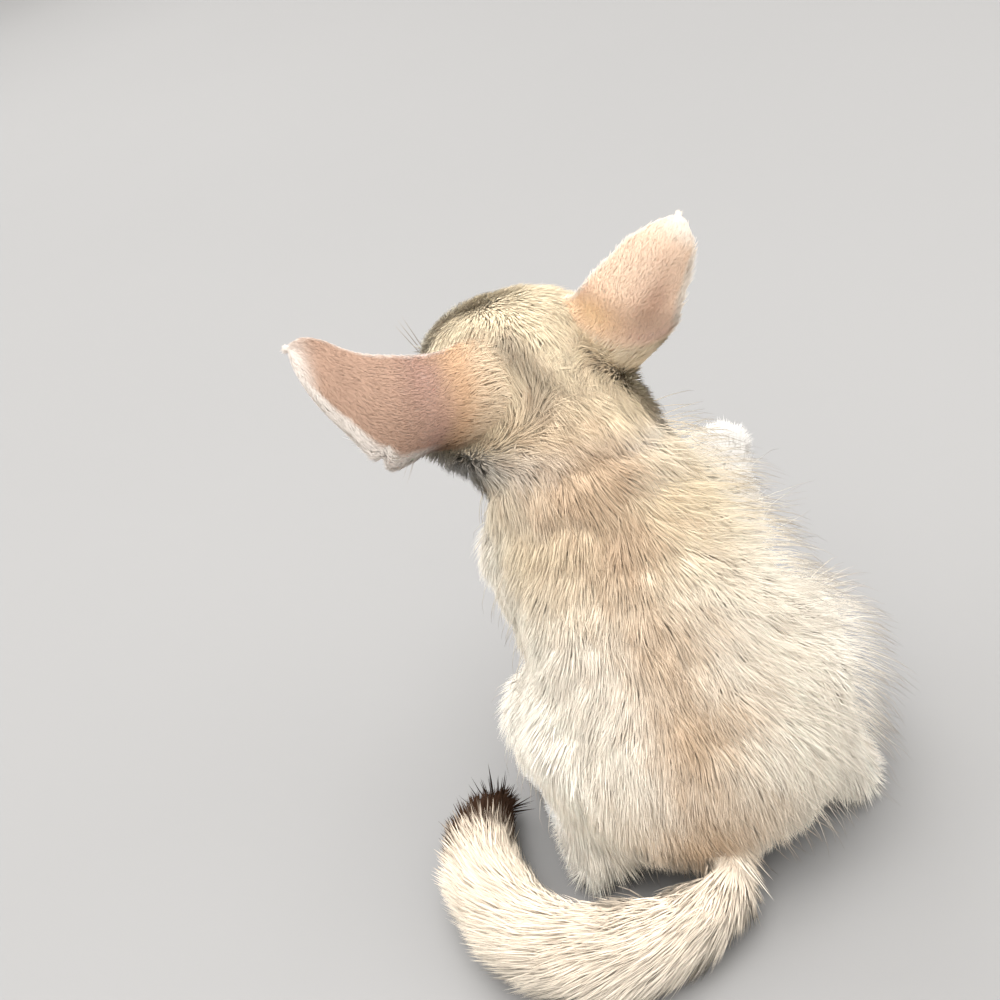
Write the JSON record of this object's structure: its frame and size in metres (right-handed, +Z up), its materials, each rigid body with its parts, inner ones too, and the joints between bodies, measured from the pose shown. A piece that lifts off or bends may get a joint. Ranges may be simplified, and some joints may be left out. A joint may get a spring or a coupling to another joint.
{
  "type": "fennec fox",
  "caption": "Still life-size fennec fox kit sitting on its haunches, head turned to its left, right forepaw lifted, tail laid round its left side.",
  "frame": {"origin": "on the floor, under the middle of the kit's bounding box", "axes": "-Y the way the chest faces, +X the kit's left, +Z up"},
  "size_m": [0.1326, 0.1444, 0.1779],
  "materials": {
    "coat": "soft cream fur",
    "pale_coat": "soft off-white fur",
    "ear": "thin skin under short down",
    "eye": "wet, nearly black",
    "nose": "damp black leather",
    "tail_tip": "dark brown fur"
  },
  "bodies": {
    "root": {"head": "coat", "neck": "coat", "torso": "coat", "thigh_left": "coat", "thigh_right": "coat", "upper_arm_left": "coat", "upper_arm_right": "coat", "forearm_left": "pale_coat", "forearm_right": "pale_coat", "forepaw_left": "pale_coat", "forepaw_right": "pale_coat", "hind_foot_left": "pale_coat", "hind_foot_right": "pale_coat", "ear_left": "ear", "ear_right": "ear", "eye_left": "eye", "eye_right": "eye", "nose": "nose", "tail_root": "coat", "tail_middle": "coat", "tail_tip": "tail_tip"}
  },
  "joints": []
}
